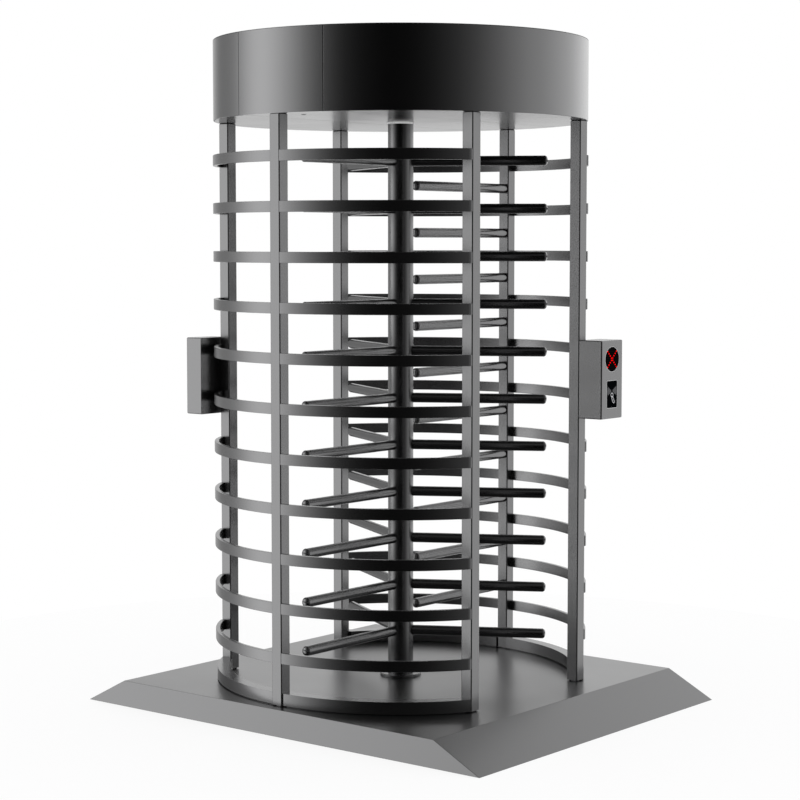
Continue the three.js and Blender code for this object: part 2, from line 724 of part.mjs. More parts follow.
function addLocks() {
  const bottom = discZ;
  const top = discZ + pawl.thickness;
  const axisZ = (bottom + top) / 2;
  const backX = indexDisc.radius + pawl.standOff + tooth.reach + pawl.width;
  for (const [name, lock] of Object.entries(locks)) {
    const holder = new THREE.Group();
    holder.rotation.z = radians(lock.turn);
    turnstile.add(holder);
    const add = (piece, geometry, material) => {
      const mesh = new THREE.Mesh(geometry, material);
      mesh.name = name + "_" + piece;
      holder.add(mesh);
    };

    const pivotY = -lock.side * pawl.pivotY;
    const hub = leverHub(gearTopZ + fit.seat, top).translate(pawl.pivotX, pivotY, 0);
    const bore = hubBore().translate(pawl.pivotX, pivotY, 0);
    const lever = joined([slab(pawlOutline(lock.side), bottom, top), hub]);
    add("pawl", geometryOf(cut(lever, [bore])), finishes.steel);

    const rodX = backX + fit.seat;
    const plunger = rod(solenoid.rodRadius, rodX, rodX + solenoid.rodLength, roundSides.small);
    add("plunger", plunger.rotateY(radians(quarterTurn)).translate(0, 0, axisZ), finishes.steel);

    const coilX = backX + solenoid.gap;
    const half = solenoid.width / 2;
    const coilTop = axisZ + solenoid.cover;
    const body = box([coilX, -half, gearTopZ + fit.seat], [coilX + solenoid.length, half, coilTop]);
    const wellEnd = rodX + solenoid.rodLength + solenoid.wellSpare;
    const well = rod(solenoid.rodRadius + fit.seat, coilX - fit.cutOverrun, wellEnd, roundSides.small);
    const wellAcross = well.rotateY(radians(quarterTurn)).translate(0, 0, axisZ);
    add("solenoid", geometryOf(cut(solid(body), [wellAcross])), finishes.brass);
  }
}

function addControlBox() {
  const { length, width, corner } = controlBox;
  const bottom = plateTopZ + fit.seat;
  const top = bottom + controlBox.height;
  const lidBottom = top - boxLid.height;
  const wider = boxLid.step * 2;
  const body = roundedBar(length, width, corner, bottom, lidBottom + fit.weldOverlap);
  const lid = roundedBar(length + wider, width + wider, corner, lidBottom, top);
  const mesh = place("control_box", geometryOf(joined([body, lid])), finishes.black);
  mesh.position.y = canopyRadius - controlBox.inset;
}

// Reader boxes: sheet housings with a round display and a card window in the face away from the rotor

function facePiece(shape, bottom, top, segments) {
  const options = { depth: top - bottom, bevelEnabled: false, curveSegments: segments };
  return new THREE.ExtrudeGeometry(shape, options).translate(0, 0, bottom);
}

function circle(radius) {
  const shape = new THREE.Shape();
  shape.absarc(0, 0, radius, 0, Math.PI * 2, false);
  return shape;
}

// Built with its face up, then stood against its post: depth runs along X, width along Y
function stand(geometry) {
  return geometry.rotateX(radians(quarterTurn)).rotateZ(radians(quarterTurn));
}

function readerHousing(depth, bracketDepth) {
  const outline = roundedRectangle(reader.width, reader.height, reader.corner);
  const shell = facePiece(outline, bracketDepth, depth + bracketDepth, 2);
  const roomWidth = reader.width - reader.sheet * 2;
  const roomHeight = reader.height - reader.sheet * 2;
  const room = box(
    [-roomWidth / 2, -roomHeight / 2, bracketDepth + reader.sheet],
    [roomWidth / 2, roomHeight / 2, bracketDepth + depth - reader.sheet],
  );
  const holeTop = bracketDepth + depth + fit.cutOverrun;
  const holeBottom = bracketDepth + depth - reader.sheet - fit.cutOverrun;
  const displayHole = facePiece(circle(display.radius + fit.seat), holeBottom, holeTop, roundSides.small);
  const windowWidth = cardWindow.width + fit.seat * 2;
  const windowHeight = cardWindow.height + fit.seat * 2;
  const windowShape = roundedRectangle(windowWidth, windowHeight, cardWindow.corner);
  const windowHole = facePiece(windowShape, holeBottom, holeTop, 3);
  const housing = cut(solid(shell), [
    room,
    displayHole.translate(0, display.rise, 0),
    windowHole.translate(0, -cardWindow.drop, 0),
  ]);
  if (bracketDepth === 0) return housing;
  const edge = reader.width / 2;
  const half = rearBracket.height / 2;
  const bracket = box([-edge, -half, 0], [post.size - edge, half, bracketDepth + fit.weldOverlap]);
  return housing.add(solid(bracket));
}

function addReader(side, depth, bracketDepth) {
  const holder = new THREE.Group();
  holder.position.set(cornerFace.x + fit.seat, cornerPost.y - postHalf + reader.width / 2, readerZ);
  const around = new THREE.Group();
  around.rotation.z = side === "rear" ? Math.PI : 0;
  around.add(holder);
  turnstile.add(around);
  const face = bracketDepth + depth;
  const windowShape = roundedRectangle(cardWindow.width, cardWindow.height, cardWindow.corner);
  const displayDisc = facePiece(circle(display.radius), face - display.thickness, face, roundSides.small);
  const pieces = {
    housing: [geometryOf(readerHousing(depth, bracketDepth)), finishes.frame],
    display: [displayDisc, finishes.lens],
    card_window: [facePiece(windowShape, face - cardWindow.thickness, face, 3), finishes.lens],
  };
  const heights = { housing: 0, display: display.rise, card_window: -cardWindow.drop };
  for (const [piece, [geometry, material]] of Object.entries(pieces)) {
    const mesh = new THREE.Mesh(stand(geometry.translate(0, heights[piece], 0)), material);
    mesh.name = side + "_reader_" + piece;
    holder.add(mesh);
  }
}

addPlatform();
addPosts();
addHoops();
addCurbs();
addRotor();
addBaseBearing();
addHeadPlate();
addCanopySkin();
addHatch();
addCamLock();
addHeadFrame();
addTopBearing();
addIndexDisc();
addRollerArm();
addLocks();
addControlBox();
addReader("front", readerDepths.front, 0);
addReader("rear", readerDepths.rear, rearBracket.depth);

export default turnstile;
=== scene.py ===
import math

import bpy
from mathutils import Matrix, Vector


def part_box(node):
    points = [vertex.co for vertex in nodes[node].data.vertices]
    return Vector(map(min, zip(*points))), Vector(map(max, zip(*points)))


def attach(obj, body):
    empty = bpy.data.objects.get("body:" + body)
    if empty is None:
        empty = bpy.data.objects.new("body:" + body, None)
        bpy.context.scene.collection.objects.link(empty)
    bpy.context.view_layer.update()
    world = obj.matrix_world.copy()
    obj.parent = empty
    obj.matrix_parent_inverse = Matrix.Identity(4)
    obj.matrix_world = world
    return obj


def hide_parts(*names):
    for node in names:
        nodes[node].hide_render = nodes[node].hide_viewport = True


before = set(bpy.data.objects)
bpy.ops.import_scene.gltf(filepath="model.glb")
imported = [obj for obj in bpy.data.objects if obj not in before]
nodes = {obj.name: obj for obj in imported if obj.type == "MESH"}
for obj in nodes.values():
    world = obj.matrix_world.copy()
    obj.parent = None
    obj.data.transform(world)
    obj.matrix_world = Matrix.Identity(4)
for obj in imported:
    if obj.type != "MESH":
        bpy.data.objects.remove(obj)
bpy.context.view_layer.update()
bpy.context.scene.view_settings.view_transform = "Standard"
print("frame loaded:", len(nodes), "nodes")


# Shader maths written as plain expressions

class Value:
    def __init__(self, maker, socket):
        self.maker, self.socket = maker, socket

    def call(self, operation, *others):
        return self.maker.maths(operation, self, *others)

    def __add__(self, other): return self.maker.maths("ADD", self, other)
    def __radd__(self, other): return self.maker.maths("ADD", other, self)
    def __sub__(self, other): return self.maker.maths("SUBTRACT", self, other)
    def __rsub__(self, other): return self.maker.maths("SUBTRACT", other, self)
    def __mul__(self, other): return self.maker.maths("MULTIPLY", self, other)
    def __rmul__(self, other): return self.maker.maths("MULTIPLY", other, self)
    def __truediv__(self, other): return self.maker.maths("DIVIDE", self, other)
    def __rtruediv__(self, other): return self.maker.maths("DIVIDE", other, self)
    def __gt__(self, other): return self.maker.maths("GREATER_THAN", self, other)
    def __lt__(self, other): return self.maker.maths("LESS_THAN", self, other)
    def __abs__(self): return self.maker.maths("ABSOLUTE", self)


class NodeMaker:
    def __init__(self, tree):
        self.tree = tree

    def node(self, kind, settings=None, inputs=None, output=0):
        made = self.tree.nodes.new(kind)
        for key, value in (settings or {}).items():
            if key == "stops":
                self.fillRamp(made.color_ramp, value)
            else:
                setattr(made, key, value)
        for key, value in (inputs or {}).items():
            self.feed(made.inputs[key], value)
        return Value(self, made.outputs[output])

    def fillRamp(self, ramp, stops):
        while len(ramp.elements) < len(stops):
            ramp.elements.new(1.0)
        for element, (place, color) in zip(ramp.elements, stops):
            element.position = place
            element.color = (*color, 1.0) if isinstance(color, tuple) else (color, color, color, 1.0)
        ramp.interpolation = "CARDINAL"  # a smooth line through the stops

    def feed(self, socket, value):
        if isinstance(value, Value):
            self.tree.links.new(value.socket, socket)
        else:
            socket.default_value = value

    def maths(self, operation, *values):
        return self.node("ShaderNodeMath", {"operation": operation}, dict(enumerate(values)))

    def ramp(self, factor, stops):
        return self.node("ShaderNodeValToRGB", {"stops": stops}, {"Fac": factor})

    def ray(self, kind):
        return self.node("ShaderNodeLightPath", output="Is %s Ray" % kind)


class Finish(NodeMaker):
    def __init__(self, name):
        self.material = bpy.data.materials.new(name)
        self.material.use_nodes = True
        super().__init__(self.material.node_tree)
        self.shader = self.tree.nodes["Principled BSDF"]
        self.place = self.node("ShaderNodeTexCoord", output="Object")

    def noise(self, scale, detail, roughness, stretch=None):
        where = self.place
        if stretch:
            where = self.node("ShaderNodeMapping", {}, {"Vector": self.place, "Scale": stretch})
        inputs = {"Vector": where, "Scale": scale, "Detail": detail, "Roughness": roughness}
        return self.node("ShaderNodeTexNoise", {}, inputs)

    def axes(self):
        split = self.node("ShaderNodeSeparateXYZ", {}, {0: self.place}).socket.node
        return [Value(self, socket) for socket in split.outputs]

    def tones(self, factor, dark, light, ends=(0.3, 0.7)):
        # two tones at the ends between which a noise mostly stays
        return self.ramp(factor, [(ends[0], dark), (ends[1], light)])

    def mixColor(self, factor, first, second):
        return self.node("ShaderNodeMix", {"data_type": "RGBA"}, {0: factor, 6: first, 7: second}, 2)

    def bump(self, height, strength, distance):
        inputs = {"Height": height, "Strength": strength, "Distance": distance}
        return self.node("ShaderNodeBump", {}, inputs)

    def set(self, **values):
        for key, value in values.items():
            self.feed(self.shader.inputs[key.replace("_", " ")], value)
        return self.material


# Coats of the metal, and plain plastics: each noise is its scale, detail and roughness

coat = {"flake": (2600.0, 2.0, 0.7), "cloud": (5.0, 4.0, 0.6), "peel": (420.0, 2.0, 0.5),
        "flakeShare": 0.7, "grain": 0.04, "blue": 1.01, "smudge": 0.06,
        "peelStrength": 0.05, "peelHeight": 0.0002}
plastic = {"grain": (900.0, 2.0, 0.5), "cloud": (12.0, 3.0, 0.5), "darkest": 0.8, "lightest": 1.3,
           "smudge": 0.15, "grainStrength": 0.2, "grainHeight": 0.0002}


def metalCoat(name, tone, roughness, smudge=coat["smudge"]):
    # satin metallic coat: fine flake in the colour, slow cloudy change in the gloss, a faint orange peel
    finish = Finish(name)
    flake, cloud, peel = (finish.noise(*coat[kind]) for kind in ("flake", "cloud", "peel"))
    mixed = flake * coat["flakeShare"] + cloud * (1 - coat["flakeShare"])
    dark, light = tone * (1 - coat["grain"]), tone * (1 + coat["grain"])
    tones = finish.tones(mixed, (dark, dark, dark * coat["blue"]), (light, light, light * coat["blue"]))
    gloss = cloud * smudge + (roughness - smudge / 2)
    normal = finish.bump(peel, coat["peelStrength"], coat["peelHeight"])
    return finish.set(Base_Color=tones, Metallic=1.0, Roughness=gloss, Normal=normal)


def mouldedPlastic(name, tone, roughness):
    finish = Finish(name)
    grain, cloud = (finish.noise(*plastic[kind]) for kind in ("grain", "cloud"))
    tones = finish.tones(cloud, tone * plastic["darkest"], tone * plastic["lightest"])
    normal = finish.bump(grain, plastic["grainStrength"], plastic["grainHeight"])
    return finish.set(Base_Color=tones, Roughness=cloud * plastic["smudge"] + roughness, Normal=normal)


finishes = {  # made with a name, a tone and a roughness
    "seal": mouldedPlastic("sealRing", 1.0, 0.6),
    "rim": metalCoat("signRim", 0.62, 0.3),
    "frame": metalCoat("frameCoat", 0.25, 0.26),
    "floor": metalCoat("floorCoat", 0.25, 0.3),
    "rotor": metalCoat("rotorCoat", 0.22, 0.22),
    "canopy": metalCoat("canopyCoat", 0.25, 0.2, smudge=0.03),
    "soffit": metalCoat("soffitCoat", 0.22, 0.25),
}
print("coats made")


# Modelling steps

facing = 0.9  # how much of a normal or an edge points one way for it to be picked
merge = 1e-6  # corners nearer than this are one
flatWithin = 0.5  # degrees between triangles that are one flat face


def clearSelection():
    if bpy.context.mode != "OBJECT":
        bpy.ops.object.mode_set(mode="OBJECT")
    bpy.ops.object.select_all(action="DESELECT")


def begin():
    # puts a new primitive's place, turn and size into its mesh
    piece = bpy.context.object
    bpy.ops.object.transform_apply(location=True, rotation=True, scale=True)
    return piece


def addBox(low, high):
    clearSelection()
    low, high = Vector(low), Vector(high)
    bpy.ops.mesh.primitive_cube_add(size=1.0, location=(low + high) / 2, scale=high - low)
    return begin()


def addDisc(radius, sides, place=(0, 0, 0), turn=(0, 0, 0)):
    clearSelection()
    bpy.ops.mesh.primitive_circle_add(vertices=sides, radius=radius, fill_type="NGON",
                                      location=place, rotation=turn)
    return begin()


def pick(piece, kind, test):
    # selects in edit mode the faces or edges that pass the test
    bpy.ops.object.mode_set(mode="OBJECT")
    mesh = piece.data
    for group in (mesh.vertices, mesh.edges, mesh.polygons):
        group.foreach_set("select", [False] * len(group))
    if kind == "FACE":
        for face in mesh.polygons:
            face.select = test(face.center, face.normal)
    else:
        for edge in mesh.edges:
            first, last = (mesh.vertices[i].co for i in edge.vertices)
            edge.select = test((first + last) / 2, (last - first).normalized())
    bpy.ops.object.mode_set(mode="EDIT")
    bpy.ops.mesh.select_mode(type=kind)


def pickAll():
    bpy.ops.object.mode_set(mode="EDIT")
    bpy.ops.mesh.select_mode(type="FACE")
    bpy.ops.mesh.select_all(action="SELECT")


def extrude(x=0.0, z=0.0):
    bpy.ops.mesh.extrude_region_move(TRANSFORM_OT_translate={"value": (x, 0, z)})


def tidyMesh():
    bpy.ops.mesh.select_all(action="SELECT")
    bpy.ops.mesh.remove_doubles(threshold=merge)
    bpy.ops.mesh.normals_make_consistent(inside=False)
    bpy.ops.object.mode_set(mode="OBJECT")


def softenEdges(piece, width, angle=50.0, segments=2):
    bpy.ops.object.mode_set(mode="OBJECT")
    bpy.context.view_layer.objects.active = piece
    bevel = piece.modifiers.new("soften", "BEVEL")
    bevel.width, bevel.segments = width, segments
    bevel.limit_method, bevel.angle_limit = "ANGLE", math.radians(angle)
    bpy.ops.object.modifier_apply(modifier="soften")


def spinBar(inner, outer, bottom, top, startAngle, endAngle, steps):
    # a rectangle set upright at the start angle, then spun round the rotor axis
    clearSelection()
    bpy.ops.mesh.primitive_plane_add(size=1.0, rotation=(math.pi / 2, 0, 0))
    piece = begin()
    middle = Matrix.Translation(((inner + outer) / 2, 0, (bottom + top) / 2))
    size = Matrix.Diagonal((outer - inner, 1, top - bottom, 1))
    piece.data.transform(Matrix.Rotation(math.radians(startAngle), 4, "Z") @ middle @ size)
    pickAll()
    sweep = math.radians(startAngle - endAngle)
    bpy.ops.mesh.spin(steps=steps, angle=sweep, center=(0, 0, 0), axis=(0, 0, 1))
    tidyMesh()
    return piece


def cutAway(piece, point, normal):
    # cuts away what lies on the normal's side of the plane and closes the cut
    pickAll()
    bpy.ops.mesh.bisect(plane_co=point, plane_no=normal, use_fill=True, clear_outer=True)
    tidyMesh()


def cutWith(piece, tool):
    bpy.context.view_layer.objects.active = piece
    difference = piece.modifiers.new("cut", "BOOLEAN")
    difference.operation, difference.object, difference.solver = "DIFFERENCE", tool, "EXACT"
    bpy.ops.object.modifier_apply(modifier="cut")
    bpy.data.objects.remove(tool)


def walkRings(sides, stations, turn=(0, 0, 0)):
    # a round bar drawn out along X from its first ring: each station is a place and a radius
    start, radius = stations[0]
    piece = addDisc(radius, sides, (start, 0, 0), (0, math.pi / 2, 0))
    pickAll()
    for (here, radius), (there, wide) in zip(stations, stations[1:]):
        extrude(x=there - here)
        share = wide / radius
        bpy.ops.transform.resize(value=(1, share, share), center_override=(there, 0, 0))
    tidyMesh()
    piece.rotation_euler = turn
    bpy.ops.object.transform_apply(location=True, rotation=True, scale=True)
    return piece


def mergedCopy(node):
    # a copy of the solid's own mesh, its loose triangles merged to whole faces
    clearSelection()
    piece = nodes[node].copy()
    piece.data = nodes[node].data.copy()
    bpy.context.scene.collection.objects.link(piece)
    for key in list(piece.keys()):
        del piece[key]
    piece.select_set(True)
    bpy.context.view_layer.objects.active = piece
    pickAll()
    bpy.ops.mesh.remove_doubles(threshold=merge)
    bpy.ops.mesh.select_all(action="SELECT")
    bpy.ops.mesh.dissolve_limited(angle_limit=math.radians(flatWithin))
    bpy.ops.object.mode_set(mode="OBJECT")
    return piece


def copyOf(piece, matrix):
    twin = piece.copy()
    twin.data = piece.data.copy()
    bpy.context.scene.collection.objects.link(twin)
    twin.data.transform(matrix)
    return twin


def joinAll(pieces):
    clearSelection()
    for piece in pieces:
        piece.select_set(True)
    bpy.context.view_layer.objects.active = pieces[0]
    bpy.ops.object.join()
    return bpy.context.object


def settle(piece, name, body, finish, stands=(), angle=35.0):
    clearSelection()
    piece.select_set(True)
    bpy.context.view_layer.objects.active = piece
    bpy.ops.object.shade_smooth_by_angle(angle=math.radians(angle))
    # broad faces keep their own direction, so that only the softened edges turn
    weighted = piece.modifiers.new("weighted", "WEIGHTED_NORMAL")
    weighted.weight, weighted.keep_sharp = 100, True
    bpy.ops.object.modifier_apply(modifier="weighted")
    piece.name = piece.data.name = name
    piece.data.materials.clear()
    piece.data.materials.append(finish)
    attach(piece, body)
    if stands:
        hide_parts(*stands)


# Platform: its folded top and ramps over open ribs, with softened folds

platformShape = {"edge": 0.0015, "edgeAngle": 20.0, "edgeSegments": 3}


def makePlatform():
    shape = platformShape
    piece = mergedCopy("base_platform")
    softenEdges(piece, shape["edge"], shape["edgeAngle"], shape["edgeSegments"])
    settle(piece, "platformCoated", "frame", finishes["floor"], ["base_platform"])


makePlatform()
print("platform made")


# Posts: square tubes with rounded corners, each on a smaller foot that leaves a dark line

postShape = {"corner": 0.0042, "cornerSegments": 4, "footHeight": 0.0037, "footInset": 0.009,
             "headHeight": 0.003, "headInset": 0.0025, "edge": 0.0005}
postNames = ("front_left", "rear_left", "front_right", "rear_right", "middle_left")


def postBox(name):
    low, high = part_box("post_" + name)
    if name == "middle_right":  # this solid holds the comb too
        low.y = high.y - (high.x - low.x)
    return low, high


def makePost(name):
    shape = postShape
    low, high = postBox(name)
    low.z += shape["footHeight"]
    high.z -= shape["headHeight"]
    piece = addBox(low, high)
    pick(piece, "EDGE", lambda place, along: abs(along.z) > facing)
    bpy.ops.mesh.bevel(offset=shape["corner"], segments=shape["cornerSegments"], affect="EDGES")
    pick(piece, "FACE", lambda place, normal: normal.z < -facing)
    bpy.ops.mesh.inset(thickness=shape["footInset"])
    extrude(z=-shape["footHeight"])
    pick(piece, "FACE", lambda place, normal: normal.z > facing)
    extrude(z=shape["headHeight"])
    share = 1 - 2 * shape["headInset"] / (high.x - low.x)
    middle = ((low.x + high.x) / 2, (low.y + high.y) / 2, 0)
    bpy.ops.transform.resize(value=(share, share, 1), center_override=middle)
    tidyMesh()
    softenEdges(piece, shape["edge"])
    return piece


for name in postNames:
    settle(makePost(name), "postCoated_" + name, "frame", finishes["frame"], ["post_" + name])
print("posts made")


# Comb: round bars with domed ends on the post that carries them, between the levels of the arms

combShape = {"radius": 0.018, "dome": 0.009, "rim": 0.0011, "neck": 0.0022, "sides": 32}
barEnds = {"shoulder": 1.4, "round": 0.25, "rings": 7, "lastAngle": 84.375}  # the arms have them too
levelCount = 11


def wallLevels():
    # the heights of the wall bars, which are those of the arms
    boxes = [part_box("hoop_left_%02d" % number) for number in range(1, levelCount + 1)]
    return [(low.z + high.z) / 2 for low, high in boxes]


def domedBar(shape, root, end, turn=0.0):
    # a set-back neck at the root, plain bar, then a cap whose dome stands inside the bar's rim
    radius, dome, rim, neck = (shape[key] for key in ("radius", "dome", "rim", "neck"))
    cap = end - dome
    soft = rim * barEnds["round"]
    stations = [(root, radius - neck), (root + neck, radius - neck)]
    stations += [(root + neck * barEnds["shoulder"], radius), (cap - soft, radius), (cap, radius - soft)]
    for ring in range(barEnds["rings"]):
        angle = math.radians(barEnds["lastAngle"]) * ring / (barEnds["rings"] - 1)
        stations.append((cap + dome * math.sin(angle), (radius - rim) * math.cos(angle)))
    return walkRings(shape["sides"], stations, (0, 0, math.radians(turn)))


def makeComb():
    post = makePost("middle_right")
    root = postBox("middle_right")[0].y
    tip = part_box("post_middle_right")[0].y
    bar = domedBar(combShape, -root, -tip, -90.0)
    levels = wallLevels()
    middles = [(lower + upper) / 2 for lower, upper in zip(levels, levels[1:])]
    bars = [copyOf(bar, Matrix.Translation((0, 0, middle))) for middle in middles]
    bpy.data.objects.remove(bar)
    whole = joinAll([post] + bars)
    settle(whole, "postWithComb", "frame", finishes["frame"], ["post_middle_right"])


makeComb()
print("comb made")


# Curved walls: one bar spun from corner post to corner post, copied to every level

hoopShape = {"thickness": 0.016, "edge": 0.0018, "edgeAngle": 40.0, "steps": 72, "within": 0.00015}
overrun = 2.0  # degrees that a spun bar runs past each end before it is cut flat


def makeHoops():
    shape = hoopShape
    for side, turn in (("left", math.pi), ("right", 0.0)):
        low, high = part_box("hoop_%s_01" % side)
        end, far = sorted((abs(low.y), abs(high.y)))
        reach = far - shape["within"]
        start = math.degrees(math.asin(end / reach)) - overrun
        half = (high.z - low.z) / 2
        bar = spinBar(reach - shape["thickness"], reach, -half, half, start, 180 - start, shape["steps"])
        cutAway(bar, (0, end, 0), (0, -1, 0))
        cutAway(bar, (high.x, 0, 0), (1, 0, 0))
        cutAway(bar, (low.x, 0, 0), (-1, 0, 0))
        softenEdges(bar, shape["edge"], shape["edgeAngle"])
        for number in range(1, levelCount + 1):
            node = "hoop_%s_%02d" % (side, number)
            low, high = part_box(node)
            place = Matrix.Translation((0, 0, (low.z + high.z) / 2)) @ Matrix.Rotation(turn, 4, "Z")
            name = "wallBar_%s_%02d" % (side, number)
            settle(copyOf(bar, place), name, "frame", finishes["frame"], [node])
        bpy.data.objects.remove(bar)


makeHoops()
print("wall bars made")


# Curbs: box sections on the platform between the posts, set back at the foot

curbShape = {"width": 0.045, "footHeight": 0.0037, "footInset": 0.009, "edge": 0.0022,
             "setBack": 0.0056, "steps": 36}


def makeCurbs():
    shape = curbShape
    for name in ("front_right", "rear_right", "front_left", "rear_left"):
        node = "curb_" + name
        low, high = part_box(node)
        alongX = 1 if high.x > 0 else -1
        alongY = 1 if high.y > 0 else -1
        nearX, farX = sorted((abs(low.x), abs(high.x)))
        nearY, farY = sorted((abs(low.y), abs(high.y)))
        reach = math.hypot(nearX, farY) - shape["setBack"]
        start = math.degrees(math.asin(nearY / reach)) - overrun
        bottom = low.z + shape["footHeight"]
        bar = spinBar(reach - shape["width"], reach, bottom, high.z, start, 90, shape["steps"])
        cutAway(bar, (0, nearY, 0), (0, -1, 0))
        cutAway(bar, (farX, 0, 0), (1, 0, 0))
        cutAway(bar, (nearX, 0, 0), (-1, 0, 0))
        pick(bar, "FACE", lambda place, normal: normal.z < -facing)
        bpy.ops.mesh.inset(thickness=shape["footInset"])
        extrude(z=-shape["footHeight"])
        tidyMesh()
        softenEdges(bar, shape["edge"])
        bar.data.transform(Matrix.Diagonal((alongX, alongY, 1, 1)))
        if alongX * alongY < 0:
            bar.data.flip_normals()
        settle(bar, "curbCoated_" + name, "frame", finishes["frame"], [node])


makeCurbs()
print("curbs made")


# Rotor: column with three wings of arms, and the pale ring at its head

rotorShape = {"radius": 0.0465, "sides": 96, "edge": 0.001, "wings": (-90, 30, 150), "weld": 0.001}
armShape = {"radius": 0.018, "dome": 0.009, "rim": 0.0011, "neck": 0.0018, "sides": 32}
sealShape = {"sink": 0.001, "stand": 0.001, "height": 0.0082, "gap": 0.0004, "edge": 0.0003}


def makeRotor():
    low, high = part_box("rotor")
    radius = rotorShape["radius"]
    column = walkRings(rotorShape["sides"], [(low.z, radius), (high.z, radius)], (0, -math.pi / 2, 0))
    softenEdges(column, rotorShape["edge"])
    root = math.sqrt(radius ** 2 - armShape["radius"] ** 2) + rotorShape["weld"]
    arm = domedBar(armShape, root, -low.y)
    arms = []
    for wing in rotorShape["wings"]:
        turn = Matrix.Rotation(math.radians(wing), 4, "Z")
        arms += [copyOf(arm, Matrix.Translation((0, 0, level)) @ turn) for level in wallLevels()]
    bpy.data.objects.remove(arm)
    whole = joinAll([column] + arms)
    settle(whole, "rotorWelded", "rotor", finishes["rotor"], ["rotor"])


def makeSeal():
    shape = sealShape
    radius = rotorShape["radius"]
    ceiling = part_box("head_plate")[0].z
    seal = spinBar(radius - shape["sink"], radius + shape["stand"], ceiling - shape["height"],
                   ceiling - shape["gap"], 0, 360, rotorShape["sides"])
    softenEdges(seal, shape["edge"])
    settle(seal, "columnSeal", "rotor", finishes["seal"])


makeRotor()
makeSeal()
print("rotor made")


# Canopy: skin, hatch, lid and ceiling, their arcs made finer and their edges softened

canopyShape = {"edge": 0.0018, "edgeAngle": 40.0, "smoothAngle": 30.0, "planes": 180, "facet": 0.0014,
               "skinRadius": 0.677, "skinFacing": 0.998, "skinDepth": 0.0005,
               "seams": (-0.155, 0.25), "seamWidth": 0.003, "seamDepth": 0.002}
canopyPieces = {  # solid: piece, radii of its arcs, body, finish, slot
    "canopy_fascia": ("canopySkin", (0.677, 0.674, 0.653), "frame", "canopy", "canopy_coat"),
    "access_hatch": ("hatchSkin", (0.677, 0.674, 0.659), "access_hatch", "canopy", "canopy_coat"),
    "canopy_lid": ("canopyLid", (0.677,), "frame", "canopy", "canopy_coat"),
    "head_plate": ("ceilingPanel", (0.6726,), "frame", "soffit", "soffit_coat"),
}


def refineArcs(piece, radii):
    # cuts the flat facets of its arcs by planes through the rotor axis, then sets the cuts on the circle
    planes = canopyShape["planes"]
    pickAll()
    for number in range(planes):
        angle = math.pi * (number + 0.5) / planes
        bpy.ops.mesh.select_all(action="SELECT")
        bpy.ops.mesh.bisect(plane_co=(0, 0, 0), plane_no=(math.sin(angle), -math.cos(angle), 0))
    bpy.ops.object.mode_set(mode="OBJECT")
    for vertex in piece.data.vertices:
        reach = math.hypot(vertex.co.x, vertex.co.y)
        for radius in radii:
            if radius - canopyShape["facet"] < reach < radius:
                vertex.co.x *= radius / reach
                vertex.co.y *= radius / reach


def lightAsTurned(piece):
    # the flats of the bent skin are lit as one true cylinder
    mesh = piece.data
    radius = canopyShape["skinRadius"] - canopyShape["skinDepth"]
    normals = [corner.vector.copy() for corner in mesh.corner_normals]
    for face in mesh.polygons:
        level = Vector((face.center.x, face.center.y, 0)).normalized()
        if face.normal.dot(level) > canopyShape["skinFacing"]:
            for loop in face.loop_indices:
                place = mesh.vertices[mesh.loops[loop].vertex_index].co
                if math.hypot(place.x, place.y) > radius:
                    normals[loop] = Vector((place.x, place.y, 0)).normalized()
    mesh.normals_split_custom_set(normals)


def cutSeams(piece):
    # two joints of the ceiling's panels, as grooves across its underside
    half = canopyShape["seamWidth"] / 2
    seams = canopyShape["seams"]
    pickAll()
    for seam in seams:
        for side in (-half, half):
            bpy.ops.mesh.select_all(action="SELECT")
            bpy.ops.mesh.bisect(plane_co=(seam + side, 0, 0), plane_no=(1, 0, 0))
    pick(piece, "FACE", lambda place, normal: normal.z < -facing
         and any(abs(place.x - seam) < half for seam in seams))
    extrude(z=canopyShape["seamDepth"])
    tidyMesh()


def makeCanopy():
    shape = canopyShape
    for node, (name, radii, body, finish, slot) in canopyPieces.items():
        piece = mergedCopy(node)
        refineArcs(piece, radii)
        softenEdges(piece, shape["edge"], shape["edgeAngle"])
        if name == "ceilingPanel":
            cutSeams(piece)
        settle(piece, name, body, finishes[finish], [node], shape["smoothAngle"])
        lightAsTurned(piece)


makeCanopy()
print("canopy made")


# Foot flange of the column, with a low floor inside its ring

flangeShape = {"radius": 0.0755, "chamfer": 0.002, "groove": 0.048, "grooveFloor": 0.0033, "sides": 96,
               "edge": 0.0004, "edgeAngle": 30.0}


def makeFlange():
    shape = flangeShape
    low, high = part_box("base_bearing")
    rise = high.z - low.z
    top = shape["radius"] - shape["chamfer"]
    piece = addDisc(shape["radius"], shape["sides"], (0, 0, low.z))
    pickAll()
    extrude(z=rise - shape["chamfer"])
    extrude(z=shape["chamfer"])
    share = top / shape["radius"]
    bpy.ops.transform.resize(value=(share, share, 1), center_override=(0, 0, high.z))
    bpy.ops.mesh.inset(thickness=top - shape["groove"])
    extrude(z=shape["grooveFloor"] - rise)
    tidyMesh()
    softenEdges(piece, shape["edge"], shape["edgeAngle"])
    settle(piece, "footFlange", "frame", finishes["rotor"], ["base_bearing"])


makeFlange()
print("foot flange made")


# Reader boxes: a folded case with a round sign and a card window let into its front

